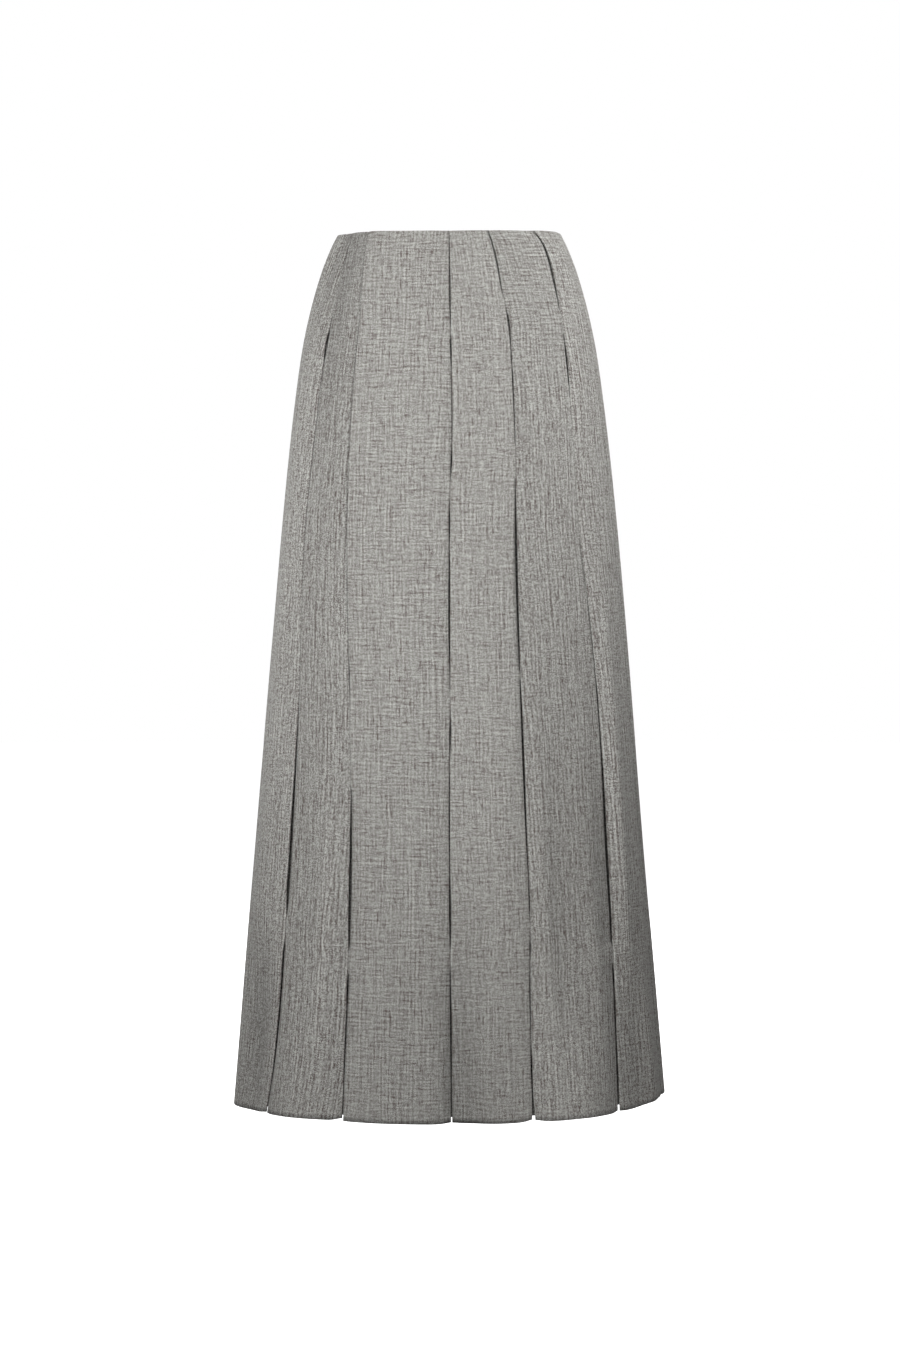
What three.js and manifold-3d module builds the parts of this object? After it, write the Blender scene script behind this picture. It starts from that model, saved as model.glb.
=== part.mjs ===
// A pleated maxi skirt in the hollow form that it has when it is worn. Twelve gores with turned-back
// edges meet at eleven pleat lines and at the centre-back seam. Each pleat line has an underlay
// behind it, and the centre-back seam holds a concealed zip, closed.
//
// Millimetres, +Z up. The origin is the middle of the waist opening, level with the waist edge, and
// the front faces -Y. Angles go round the body in degrees: 0 is the front (-Y), 90 the wearer's
// left (+X) and 180 the centre back (+Y). A drop is a distance below the waist edge.

import * as THREE from "three";
import { mergeVertices } from "three/addons/utils/BufferGeometryUtils.js";
import Module from "manifold-3d";

const WALL = 1.2; // thickness of the cloth
const SEAM_GAP = 0.3; // clear space between pieces that are sewn together
const UNDERLAY_LIFT = 2; // how much higher the underlays are hemmed than the gores
const WIDEST_FACET = 6.5; // degrees round the body

// The skirt's outline at each drop: half its width, and its depth in front of and behind the origin.
const SECTIONS = [
  { drop: 0, halfWidth: 118.5, front: 91, back: 95 },
  { drop: 14, halfWidth: 125.5, front: 94, back: 99 },
  { drop: 41, halfWidth: 136, front: 99, back: 107 },
  { drop: 80, halfWidth: 147, front: 105, back: 116 },
  { drop: 121, halfWidth: 155.5, front: 110, back: 124 },
  { drop: 175, halfWidth: 163, front: 116, back: 130 },
  { drop: 228, halfWidth: 169, front: 120, back: 134 },
  { drop: 300, halfWidth: 176, front: 125, back: 137 },
  { drop: 390, halfWidth: 184, front: 132, back: 141 },
  { drop: 500, halfWidth: 193.5, front: 140, back: 147 },
  { drop: 640, halfWidth: 204.5, front: 150, back: 155 },
  { drop: 780, halfWidth: 215.5, front: 160, back: 164 },
  { drop: 920, halfWidth: 226, front: 170, back: 173 },
];
const LENGTH = SECTIONS.at(-1).drop;

// How the pleats deepen down the skirt: the width of the cloth turned back at each edge, the air
// between a gore's face and its turned-back edge, the gap between two gores' edges, and how far
// the middle of a gore's face stands out past its edges.
const PLEATS = [
  { drop: 0, turnBack: 12, air: 0.8, slit: 0.5, bow: 0 },
  { drop: 228, turnBack: 18, air: 1.5, slit: 0.7, bow: 1 },
  { drop: 560, turnBack: 24, air: 3, slit: 0.9, bow: 2 },
  { drop: 920, turnBack: 28, air: 5, slit: 1, bow: 3 },
];

// The centre-back seam in the same terms. It isn't pleated, and its edges part round the zip.
const BACK_SEAM = [
  { drop: 0, turnBack: 12, air: 0.8, slit: 2, bow: 0 },
  { drop: 228, turnBack: 12, air: 0.8, slit: 1.2, bow: 1 },
  { drop: 920, turnBack: 12, air: 0.8, slit: 0.5, bow: 3 },
];

// The lines where two gores meet, in order round the body, with their angle at four drops.
const LINE_DROPS = { waist: 0, hip: 228, knee: 560, hem: 920 };
const LINES = [
  { waist: -95, hip: -95, knee: -95, hem: -95 },
  { waist: -64, hip: -58.5, knee: -54.3, hem: -57 },
  { waist: -45, hip: -38, knee: -31, hem: -29 },
  { waist: 0, hip: 1, knee: 0.4, hem: 0.8 },
  { waist: 20.5, hip: 24.2, knee: 23, hem: 22.4 },
  { waist: 49, hip: 50.8, knee: 52.2, hem: 51 },
  { waist: 74, hip: 76.5, knee: 79, hem: 81 },
  { waist: 108, hip: 108, knee: 109, hem: 110 },
  { waist: 144, hip: 144, knee: 145, hem: 145 },
  { waist: 180, hip: 180, knee: 180, hem: 180, isBackSeam: true },
  { waist: 213, hip: 212, knee: 212, hem: 211 },
  { waist: 240, hip: 240, knee: 239, hem: 238 },
];
const FRONT_GORES = 6;

// How far the hem rises on the wearer's left side, and how sharply it does so towards the hem.
const HEM_RISE = [
  { angle: -180, rise: 0 },
  { angle: 40, rise: 0 },
  { angle: 70, rise: 4 },
  { angle: 92, rise: 8 },
  { angle: 150, rise: 0 },
  { angle: 180, rise: 0 },
];
const HEM_RISE_POWER = 6;

// The concealed zip. The slider stays at the top of the closed zip, and its pull hangs outside.
const ZIP = {
  topDrop: 2,
  length: 200,
  tapeWidth: 12,
  tapeWall: 1,
  sliderDrop: 9,
  bodyWidth: 7,
  bodyHeight: 9,
  bodyDepth: 1.8,
  neckWidth: 1,
  neckHeight: 4,
  eyeOut: 2.1, // from the cloth's face to the middle of the eye, on the pull's hinge axis
  eyeRadius: 2.4,
  eyeHole: 1.25,
};
const PULL = {
  thickness: 1.2,
  barHalf: 0.6, // the cross bar that turns in the slider's eye
  topHalfWidth: 2,
  slotHalfWidth: 0.85,
  slotLength: 3.2,
  shoulderDrop: 3.9,
  neckDrop: 6.5,
  neckHalfWidth: 1.3,
  length: 22,
  endRadius: 2.6,
};

const COLOURS = { cloth: 0x9b9a96, underlay: 0x84837f, tape: 0x8a8986, metal: 0x77767a };

const { degToRad, euclideanModulo, lerp, radToDeg } = THREE.MathUtils;

// A row of a table for any value of its first column, worked out between the rows on each side.
function rowAt(table, value) {
  const [first] = Object.keys(table[0]);
  const before = table.findLastIndex((row) => row[first] <= value);
  const [a, b] = table.slice(Math.min(before, table.length - 2));
  const share = (value - a[first]) / (b[first] - a[first]);
  return Object.fromEntries(Object.keys(a).map((key) => [key, lerp(a[key], b[key], share)]));
}

// The angle of a line at a drop.
function lineAngle(line, drop) {
  const table = Object.entries(LINE_DROPS).map(([level, at]) => ({ drop: at, angle: line[level] }));
  return rowAt(table, drop).angle;
}

// A point on the outline at an angle, moved inwards by a depth, and moved round by a distance.
function outlinePoint(drop, angle, inward = 0, along = 0) {
  const { halfWidth, front, back } = rowAt(SECTIONS, drop);
  const t = degToRad(angle);
  const depth = Math.cos(t) > 0 ? front : back;
  const pace = Math.hypot(halfWidth * Math.cos(t), depth * Math.sin(t));
  const moved = t + along / pace;
  const turned = euclideanModulo(radToDeg(moved) + 180, 360) - 180;
  const rise = rowAt(HEM_RISE, turned).rise * (drop / LENGTH) ** HEM_RISE_POWER;
  const at = new THREE.Vector3(halfWidth * Math.sin(moved), -depth * Math.cos(moved), rise - drop);
  const outward = new THREE.Vector3(depth * Math.sin(moved), -halfWidth * Math.cos(moved), 0);
  return at.addScaledVector(outward.normalize(), -inward);
}

// The closed solid through loops of the same number of points, each counterclockwise as seen from
// above, from the waist down. Every quad is split along the diagonal that leans the same way round
// the body, so that layers which lie together stay parallel.
function loft(loops) {
  const around = loops[0].length;
  const positions = loops.flatMap((loop) => loop.flatMap((point) => point.toArray()));
  const faces = [];
  for (let row = 0; row + 1 < loops.length; row++) {
    for (let i = 0; i < around; i++) {
      const next = (i + 1) % around;
      const [from, to] = [loops[row][i], loops[row][next]];
      const [a, b] = [row * around + i, row * around + next];
      const [c, d] = [b + around, a + around];
      const runsForward = from.x * to.y > from.y * to.x;
      faces.push(...(runsForward ? [[a, d, c], [a, c, b]] : [[a, d, b], [b, d, c]]));
    }
  }
  const lastRow = (loops.length - 1) * around;
  for (const [a, b, c] of THREE.ShapeUtils.triangulateShape(loops[0], [])) {
    faces.push([a, b, c]);
  }
  for (const [a, b, c] of THREE.ShapeUtils.triangulateShape(loops.at(-1), [])) {
    faces.push([lastRow + a, lastRow + c, lastRow + b]);
  }
  const geometry = new THREE.BufferGeometry();
  geometry.setAttribute("position", new THREE.Float32BufferAttribute(positions, 3));
  geometry.setIndex(faces.flat());
  geometry.computeVertexNormals();
  return geometry;
}

// A piece from its top to its hem, with its loop worked out at each drop of the outline between.
function pieceThrough(loopAt, topDrop, hemDrop) {
  const between = SECTIONS.map((row) => row.drop).filter((d) => d > topDrop && d < hemDrop);
  return loft([topDrop, ...between, hemDrop].map(loopAt));
}

// One gore's section: its face, both edges folded round, and the cloth turned back behind it.
function goreLoop(left, right, facets, drop) {
  const edge = (line, side) => {
    const row = rowAt(line.isBackSeam ? BACK_SEAM : PLEATS, drop);
    const angle = lineAngle(line, drop);
    return { ...row, at: (inward, along) => outlinePoint(drop, angle, inward, side * along) };
  };
  const [from, to] = [edge(left, 1), edge(right, -1)];
  const [start, end] = [lineAngle(left, drop), lineAngle(right, drop)];
  const { bow } = rowAt(PLEATS, drop);
  const middle = (share, inward) => {
    const out = bow * (1 - (2 * share - 1) ** 2);
    return outlinePoint(drop, lerp(start, end, share), inward - out);
  };
  const shares = Array.from({ length: facets - 1 }, (_, i) => (i + 1) / facets);
  // The fold's half from the end of the turned-back cloth to the face, and back on the inside.
  const outside = ({ at, turnBack, air, slit }) => [
    at(2 * WALL + air, slit / 2 + turnBack),
    at(2 * WALL + air, slit / 2),
    at(0, slit / 2),
  ];
  const inside = ({ at, turnBack, air, slit }) => [
    at(WALL, slit / 2 + WALL),
    at(WALL + air, slit / 2 + WALL),
    at(WALL + air, slit / 2 + turnBack),
  ];
  return [
    ...outside(from),
    ...shares.map((share) => middle(share, 0)),
    ...outside(to).reverse(),
    ...inside(to).reverse(),
    ...shares.map((share) => middle(share, WALL)).reverse(),
    ...inside(from),
  ];
}

// The section of a strip that lies flat behind a line's turned-back edges.
function stripLoop(line, table, wall, alongs, drop) {
  const { air } = rowAt(table, drop);
  const inward = 2 * WALL + air + SEAM_GAP;
  const angle = lineAngle(line, drop);
  const side = (depth) => alongs(drop).map((along) => outlinePoint(drop, angle, depth, along));
  return [...side(inward), ...side(inward + wall).reverse()];
}

function addMesh(group, name, geometry, material) {
  const mesh = new THREE.Mesh(geometry, material);
  mesh.name = name;
  group.add(mesh);
  return mesh;
}

function addGores(group, material) {
  LINES.forEach((left, i) => {
    const next = LINES[(i + 1) % LINES.length];
    const turn = i + 1 < LINES.length ? 0 : 360;
    const right = { ...next };
    for (const level of Object.keys(LINE_DROPS)) right[level] += turn;
    const facets = Math.ceil((right.hem - left.hem) / WIDEST_FACET);
    const gore = pieceThrough((drop) => goreLoop(left, right, facets, drop), 0, LENGTH);
    const name = i < FRONT_GORES ? `front_gore_${i + 1}` : `back_gore_${i + 1 - FRONT_GORES}`;
    addMesh(group, name, gore, material);
  });
}

function addUnderlays(group, material) {
  LINES.filter((line) => !line.isBackSeam).forEach((line, i) => {
    const alongs = (drop) => {
      const { turnBack, slit } = rowAt(PLEATS, drop);
      const reach = turnBack + slit / 2;
      return [-reach, 0, reach];
    };
    const loopAt = (drop) => stripLoop(line, PLEATS, WALL, alongs, drop);
    const underlay = pieceThrough(loopAt, 0, LENGTH - UNDERLAY_LIFT);
    addMesh(group, `pleat_underlay_${i + 1}`, underlay, material);
  });
}

function addZipTapes(group, material) {
  const seam = LINES.find((line) => line.isBackSeam);
  for (const [name, side] of [["zip_tape_right", -1], ["zip_tape_left", 1]]) {
    const alongs = (drop) => {
      const inner = rowAt(BACK_SEAM, drop).slit / 2;
      return [inner, inner + ZIP.tapeWidth].map((along) => side * along).sort((a, b) => a - b);
    };
    const loopAt = (drop) => stripLoop(seam, BACK_SEAM, ZIP.tapeWall, alongs, drop);
    const tape = pieceThrough(loopAt, ZIP.topDrop, ZIP.topDrop + ZIP.length);
    addMesh(group, name, tape, material);
  }
}

// The group that holds the slider and its pull: its origin is on the cloth's face at the seam,
// its Y axis points out of the cloth, and its Z axis runs up the seam.
function sliderPlace() {
  const [high, low] = [ZIP.sliderDrop, ZIP.sliderDrop + PULL.length];
  const [yHigh, yLow] = [high, low].map((drop) => rowAt(SECTIONS, drop).back);
  const group = new THREE.Group();
  group.position.set(0, yHigh, -high);
  group.rotation.x = Math.atan2(yLow - yHigh, low - high);
  return group;
}

const wasm = await Module();
wasm.setup();

function toSolid(geometry) {
  const bare = new THREE.BufferGeometry();
  bare.setAttribute("position", geometry.getAttribute("position"));
  bare.setIndex(geometry.getIndex());
  const merged = mergeVertices(bare);
  const vertProperties = merged.getAttribute("position").array;
  const triVerts = new Uint32Array(merged.getIndex().array);
  return new wasm.Manifold(new wasm.Mesh({ numProp: 3, vertProperties, triVerts }));
}

function toGeometry(solid) {
  const { vertProperties, triVerts } = solid.getMesh();
  const geometry = new THREE.BufferGeometry();
  geometry.setAttribute("position", new THREE.BufferAttribute(vertProperties, 3));
  geometry.setIndex(new THREE.BufferAttribute(triVerts, 1));
  geometry.computeVertexNormals();
  return geometry;
}

// The slider: a body inside the tapes, and a thin neck that comes out between the gores' edges
// and ends in an eye for the pull.
function addSlider(place, material) {
  const { air } = rowAt(BACK_SEAM, ZIP.sliderDrop);
  const inner = 2 * WALL + air + 2 * SEAM_GAP + ZIP.tapeWall;
  const body = new THREE.BoxGeometry(ZIP.bodyWidth, ZIP.bodyDepth, ZIP.bodyHeight);
  body.translate(0, -inner - ZIP.bodyDepth / 2, 0);

  const half = ZIP.neckHeight / 2;
  const meets = Math.asin(half / ZIP.eyeRadius);
  const neck = new THREE.Shape();
  neck.moveTo(-inner - ZIP.bodyDepth / 2, -half);
  neck.absarc(ZIP.eyeOut, 0, ZIP.eyeRadius, -Math.PI + meets, Math.PI - meets);
  neck.lineTo(-inner - ZIP.bodyDepth / 2, half);
  neck.holes.push(new THREE.Path().absarc(ZIP.eyeOut, 0, ZIP.eyeHole, 0, 2 * Math.PI));
  const plate = new THREE.ExtrudeGeometry(neck, {
    depth: ZIP.neckWidth,
    bevelEnabled: false,
    curveSegments: 20,
  });
  plate.translate(0, 0, -ZIP.neckWidth / 2);
  const [x, y, z] = [[1, 0, 0], [0, 1, 0], [0, 0, 1]].map((v) => new THREE.Vector3(...v));
  plate.applyMatrix4(new THREE.Matrix4().makeBasis(y, z, x));

  addMesh(place, "zip_slider", toGeometry(toSolid(body).add(toSolid(plate))), material);
}

// The pull: a drop-shaped plate with a slot for the slider's eye under its cross bar.
function addPull(place, material) {
  const { barHalf, topHalfWidth, slotHalfWidth, slotLength } = PULL;
  const { shoulderDrop, neckDrop, neckHalfWidth } = PULL;
  const endDrop = PULL.length - PULL.endRadius;
  const outline = new THREE.Shape();
  outline.moveTo(topHalfWidth, barHalf);
  outline.lineTo(-topHalfWidth, barHalf);
  outline.lineTo(-topHalfWidth, -shoulderDrop);
  outline.lineTo(-neckHalfWidth, -neckDrop);
  outline.absarc(0, -endDrop, PULL.endRadius, Math.PI, 2 * Math.PI);
  outline.lineTo(neckHalfWidth, -neckDrop);
  outline.lineTo(topHalfWidth, -shoulderDrop);
  const slot = new THREE.Path();
  slot.moveTo(slotHalfWidth, -barHalf);
  slot.lineTo(-slotHalfWidth, -barHalf);
  slot.lineTo(-slotHalfWidth, -slotLength);
  slot.lineTo(slotHalfWidth, -slotLength);
  outline.holes.push(slot);
  const plate = new THREE.ExtrudeGeometry(outline, {
    depth: PULL.thickness,
    bevelEnabled: false,
    curveSegments: 8,
  });
  plate.translate(0, 0, -PULL.thickness / 2).rotateX(Math.PI / 2);
  addMesh(place, "zip_pull", plate, material).position.y = ZIP.eyeOut;
}

const skirt = new THREE.Group();
const finish = (color, roughness, metalness = 0) =>
  new THREE.MeshStandardMaterial({ color, roughness, metalness });
addGores(skirt, finish(COLOURS.cloth, 0.95));
addUnderlays(skirt, finish(COLOURS.underlay, 0.95));
addZipTapes(skirt, finish(COLOURS.tape, 0.9));
const metal = finish(COLOURS.metal, 0.4, 0.8);
const place = sliderPlace();
addSlider(place, metal);
addPull(place, metal);
skirt.add(place);

export default skirt;
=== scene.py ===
import math

import bpy
import numpy as np
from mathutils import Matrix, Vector


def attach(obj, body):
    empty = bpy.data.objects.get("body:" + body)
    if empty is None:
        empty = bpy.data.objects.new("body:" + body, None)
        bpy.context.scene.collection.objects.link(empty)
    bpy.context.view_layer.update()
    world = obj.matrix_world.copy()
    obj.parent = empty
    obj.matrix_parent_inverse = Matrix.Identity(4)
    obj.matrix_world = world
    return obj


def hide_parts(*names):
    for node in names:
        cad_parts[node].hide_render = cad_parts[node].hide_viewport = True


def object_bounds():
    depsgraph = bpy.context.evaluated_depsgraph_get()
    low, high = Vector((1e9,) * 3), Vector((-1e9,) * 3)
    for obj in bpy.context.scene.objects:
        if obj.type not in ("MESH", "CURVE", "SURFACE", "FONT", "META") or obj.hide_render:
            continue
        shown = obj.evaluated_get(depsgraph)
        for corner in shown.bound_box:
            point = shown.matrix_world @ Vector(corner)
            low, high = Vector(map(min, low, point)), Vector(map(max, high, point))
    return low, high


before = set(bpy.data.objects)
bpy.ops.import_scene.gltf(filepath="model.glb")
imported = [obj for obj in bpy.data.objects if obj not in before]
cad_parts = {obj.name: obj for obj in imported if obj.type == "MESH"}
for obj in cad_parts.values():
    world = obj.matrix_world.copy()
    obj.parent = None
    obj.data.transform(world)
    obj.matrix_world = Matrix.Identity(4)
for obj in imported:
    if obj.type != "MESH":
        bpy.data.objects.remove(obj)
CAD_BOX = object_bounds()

bl_info = {
    "name": "Pleated Maxi Skirt",
    "version": (1, 0, 0),
    "blender": (4, 5, 0),
    "location": "View3D > Sidebar > Skirt",
    "description": "Sews a pleated maxi skirt in slubbed grey cloth round its frame",
    "category": "Add Mesh",
}

# Millimetres, +Z up, the front facing -Y. A drop is a distance below the waist edge. An angle goes
# round the body in degrees: 0 is the front, 90 the wearer's left, 180 the centre back.
MM = 0.001
WAIST_TO_HEM = -CAD_BOX[0].z / MM


def table(columns, *rows):
    """Rows of numbers as one array for each named column."""
    return dict(zip(columns.split(), np.array(rows, float).T))


# The skirt's outline: half its width, and its depth in front of and behind the origin.
SECTIONS = table(
    "drop half_width front back",
    (0, 118.5, 91, 95),
    (14, 125.5, 94, 99),
    (41, 136, 99, 107),
    (80, 147, 105, 116),
    (121, 155.5, 110, 124),
    (175, 163, 116, 130),
    (228, 169, 120, 134),
    (300, 176, 125, 137),
    (390, 184, 132, 141),
    (500, 193.5, 140, 147),
    (640, 205.2, 150, 155),
    (780, 217.4, 160, 164),
    (920, 228.7, 170, 173),
)

# How the pleats deepen: the cloth turned back at each edge, the air inside the fold, how far the
# middle of a gore's face stands out past its edges, and how deep the underlay bows in behind.
PLEATS = table(
    "drop turn_back air bow hollow",
    (0, 12, 0.3, 0, 0.8),
    (40, 13, 0.3, 0.2, 3.5),
    (228, 18, 0.35, 0.8, 7),
    (560, 24, 0.4, 1.6, 10),
    (920, 28, 0.5, 2.4, 12),
)

# The centre-back seam has no underlay, and is turned back by a plain allowance.
BACK_SEAM = table(
    "drop turn_back air",
    (0, 12, 1.8),
    (228, 12, 1.8),
    (320, 12, 0.4),
    (920, 12, 0.4),
)

# How far the hem hangs above its level at each angle, or below it where that is less than 0.
HEM_RISE = table(
    "angle rise",
    (-180, 0),
    (-120, -1),
    (-90, -2.8),
    (-72, -2),
    (-55, -1),
    (-38, 0),
    (-20, -1),
    (10, -0.9),
    (20, 0),
    (30, 1.4),
    (37, 2.4),
    (50, 2.8),
    (58, 4.3),
    (67, 7.3),
    (75, 8.6),
    (92, 8.4),
    (150, 0),
    (180, 0),
)
HEM_RISE_POWER = 6  # how soon that dies away up the skirt

# How far the waist edge stands above its level at each angle.
WAIST_RISE = table(
    "angle rise",
    (-180, 0),
    (-90, 0.6),
    (-60, 1.4),
    (-45, 1.4),
    (-25, 0.6),
    (0, 0.4),
    (20, 1.2),
    (40, 1.6),
    (55, 2.7),
    (70, 2.8),
    (80, 2),
    (95, 0.8),
    (180, 0),
)
WAIST_RISE_REACH = 60  # the drop at which that has died away

# The pleat lines in order round the body, with their angles at these drops.
LINE_DROPS = (0, 15, 30, 60, 100, 200, 300, 400, 500, 600, 700, 800, 860, 920)
LINE_ANGLES = {
    "right_side": (-95, -95, -95, -95.2, -95.4, -95.3, -95, -94.7, -94.8, -95, -95.2, -95.3, -95, -94.8),
    "right_outer": (-66.5, -63.2, -61.3, -60.3, -58.8, -58.3, -58.9, -57.2, -54.8, -54.2, -53.9, -54, -55,
                    -57.7),
    "right_inner": (-46, -44.2, -42.6, -40, -38.1, -38, -36.9, -34.7, -32.3, -30.4, -29.4, -29, -29, -28.9),
    "centre_front": (0, 0.1, 0.2, 0.4, 0.6, 1.1, 0.2, 0.1, 0.4, 0.1, 0.3, 0.5, 0.6, 0.7),
    "left_inner": (20.2, 21.3, 22, 22.8, 24.5, 24.3, 23.3, 22.9, 23, 23.1, 23.4, 22.5, 22.3, 22.4),
    "left_outer": (48.4, 52, 52.7, 52.4, 52, 51.2, 50.2, 52.6, 53.7, 54, 53.8, 52.4, 51.6, 50.8),
    "left_front_side": (74, 74.3, 74.6, 75, 75, 76, 77.4, 78.5, 79, 79.3, 79.7, 80.2, 80.6, 81),
    "left_side": (107.4, 107.8, 108, 108.2, 108.4, 108.1, 107.8, 108.2, 108.7, 109, 109.3, 109.6, 109.9,
                  110.2),
    "left_back": (143.6, 143.9, 144, 144.3, 144.4, 144, 143.8, 144.1, 144.7, 145.1, 145.2, 145, 144.8,
                  145.2),
    "centre_back": (180,) * len(LINE_DROPS),
    "right_back": (213.4, 213, 212.8, 212.4, 212, 211.8, 212.2, 212.3, 212, 211.6, 211.4, 211.2, 211, 210.8),
    "right_back_side": (240.4, 240, 239.8, 239.8, 240.1, 240.3, 239.9, 239.5, 239.2, 239, 238.6, 238.3,
                        238.2, 237.9),
}
LINE_NAMES = list(LINE_ANGLES)
FRONT_GORES = 6

# Where a line's edges part. Each opening has the drops of its top, its widest place and its bottom,
# and its width there.
OPENINGS = {
    "right_side": ((60, 90, 130, 0.6), (210, 330, 420, 0.8), (455, 640, 700, 1.3), (735, 860, 925, 0.9)),
    "right_outer": ((-5, 10, 46, 1.2), (100, 114, 137, 3.4), (470, 680, 711, 4.2), (738, 758, 890, 3.3),
                    (800, 870, 935, 1.2)),
    "right_inner": ((-5, 2, 10, 0.5), (438, 455, 475, 0.8), (590, 692, 742, 2.4), (770, 784, 802, 1.3),
                    (800, 840, 925, 0.8), (892, 918, 930, 0.9)),
    "centre_front": ((-5, 5, 30, 0.3), (6, 62, 104, 1.5), (108, 122, 148, 1.6), (150, 190, 224, 0.6),
                     (222, 238, 257, 1.4), (280, 300, 328, 1.1), (318, 390, 467, 1.7), (500, 521, 546, 1.4),
                     (548, 610, 682, 1.0), (660, 706, 741, 1.9), (764, 830, 890, 1.3), (868, 915, 930, 1.1)),
    "left_inner": ((2, 28, 64, 1.4), (84, 92, 120, 2.1), (112, 150, 216, 0.8), (262, 340, 453, 1.6),
                   (468, 560, 682, 1.9), (672, 692, 712, 1.1), (732, 741, 753, 1.4), (752, 790, 836, 1.0),
                   (838, 866, 902, 1.5), (890, 921, 935, 3)),
    "left_outer": ((-4, 30, 76, 2.4), (110, 132, 166, 2.1), (465, 484, 502, 0.7),
                   (518, 652, 745, 1.15), (768, 777, 797, 1.4), (790, 815, 850, 1.6), (834, 885, 910, 2.4),
                   (896, 921, 935, 3)),
    "left_front_side": ((90, 112, 150, 0.6), (165, 215, 255, 0.7), (300, 360, 430, 0.4),
                        (520, 650, 720, 1.0), (760, 880, 930, 1.1)),
    "left_side": ((70, 95, 130, 0.7), (260, 390, 450, 0.9), (480, 640, 720, 1.4), (752, 850, 930, 1.0)),
    "left_back": ((20, 50, 85, 0.6), (105, 150, 205, 0.5), (300, 420, 480, 1.1), (505, 690, 742, 1.5),
                  (770, 880, 930, 1.0)),
    "centre_back": ((-5, 10, 30, 0.5), (26, 110, 205, 0.2)),
    "right_back": ((35, 72, 110, 0.8), (240, 330, 398, 0.9), (425, 560, 655, 1.3), (668, 712, 748, 1.2),
                   (774, 870, 930, 0.9)),
    "right_back_side": ((100, 135, 190, 0.6), (310, 480, 560, 1.0), (580, 690, 738, 1.5),
                        (765, 850, 930, 0.9)),
}
CLOSED_SLIT = 0.08  # the gap where the edges lie closed

# Stretches of a line, from drop to drop, where its edges meet flush and hardly show.
JOINS = {
    "right_side": ((425, 452), (704, 732)),
    "right_outer": ((54, 88), (709, 739)),
    "right_inner": ((480, 580), (741, 770)),
    "centre_front": ((97, 107), (258, 279), (474, 497), (740, 765)),
    "left_inner": ((65, 83), (136, 145), (218, 260), (455, 466), (712, 730)),
    "left_outer": ((78, 108), (170, 322), (742, 766)),
    "left_front_side": ((258, 296), (725, 757)),
    "left_side": ((454, 477), (724, 749)),
    "left_back": ((208, 240), (484, 502), (745, 767)),
    "centre_back": ((205, 226),),
    "right_back": ((400, 422), (658, 666), (752, 771)),
    "right_back_side": ((562, 577), (742, 762)),
}
JOIN_SOFT = 5  # the length over which a join starts or ends
JOIN_TIGHTENS = 0.7  # the share of the closed gap that a join takes up
JOIN_LIFTS = 0.75  # the share by which it lifts the sunk edges
JOIN_SHARPENS = 0.6  # the share by which it makes their folds less round

# How each side of a line lies: how deep its edge sinks, and over what width its face rolls in.
EDGE_COLUMNS = "drop low_sink low_roll high_sink high_roll"
EDGES = {
    "right_side": ((0, 0, 8, 0.5, 10), (300, 1, 14, 0.5, 10), (700, 1.2, 20, 0.5, 14),
                   (920, 1.6, 24, 0.2, 16)),
    "right_outer": ((0, 0.8, 10, 0.2, 8), (120, 0.3, 8, 1, 16), (480, 0.3, 8, 0.6, 8),
                    (700, 0.2, 8, 1.8, 12), (745, 0.3, 8, 1.2, 12), (920, 0.3, 8, 1.6, 14)),
    "right_inner": ((0, 2.4, 26, 0, 8), (100, 3.4, 34, 0, 8), (330, 2.6, 28, 0, 8), (500, 0.5, 8, 1.2, 12),
                    (640, 0.3, 6, 2, 14), (760, 0.3, 6, 2.2, 12), (920, 0.6, 8, 0.8, 8)),
    "centre_front": ((0, 0.2, 6, 0.2, 6), (100, 0.8, 8, 0.5, 6), (250, 1, 8, 0.6, 6), (420, 1.4, 10, 0.6, 6),
                     (600, 1.2, 10, 1.2, 12), (700, 1.8, 14, 1.8, 16), (780, 4, 20, 3, 24),
                     (920, 4.4, 20, 5, 28)),
    "left_inner": ((0, 1.2, 8, 0, 6), (80, 0.8, 8, 0.2, 6), (260, 1, 10, 0, 6), (340, 2.4, 14, 0, 6),
                   (500, 2, 12, 0.6, 8), (640, 1.4, 10, 1.4, 14), (820, 1.6, 10, 1.4, 14),
                   (920, 1.8, 10, 1.2, 10)),
    "left_outer": ((0, 0.4, 8, -0.4, 8), (60, 1.2, 14, 0, 8), (300, 0.6, 16, 0.2, 8), (350, 0.9, 20, 0.1, 8),
                   (480, 1.5, 30, 0.2, 10), (560, 2.6, 40, 1, 14), (650, 4.6, 52, 2.4, 16),
                   (740, 3.6, 46, 1.6, 14), (800, 1.8, 20, 0.3, 12), (920, 1.6, 12, 0.4, 12)),
    "left_front_side": ((0, 0, 8, 0.5, 10), (90, 0.3, 8, 1.5, 18), (230, 0.4, 10, 3.6, 26),
                        (700, 0.6, 20, 3.6, 28), (920, 0.6, 20, 1, 20)),
    "left_side": ((0, 0.4, 8, 0.2, 8), (400, 0.4, 10, 1.6, 20), (700, 0.6, 10, 2.4, 28),
                  (920, 1, 20, 2.4, 24)),
    "left_back": ((0, 0.2, 8, 0.8, 12), (350, 1.6, 22, 0.2, 8), (700, 2.8, 34, 0.4, 8),
                  (920, 2.4, 22, 2, 20)),
    "centre_back": ((0, 0, 8, 0, 8), (240, 0.4, 6, 0.4, 6), (920, 0.5, 8, 0.5, 8)),
    "right_back": ((0, 0.8, 12, 0.2, 8), (350, 0.4, 8, 1.4, 20), (700, 0.6, 10, 3, 36),
                   (920, 2.2, 20, 2.8, 24)),
    "right_back_side": ((0, 0.2, 8, 0.6, 10), (400, 1.2, 16, 0.4, 8), (700, 2.4, 30, 0.4, 10),
                        (920, 2.4, 24, 2, 18)),
}

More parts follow.
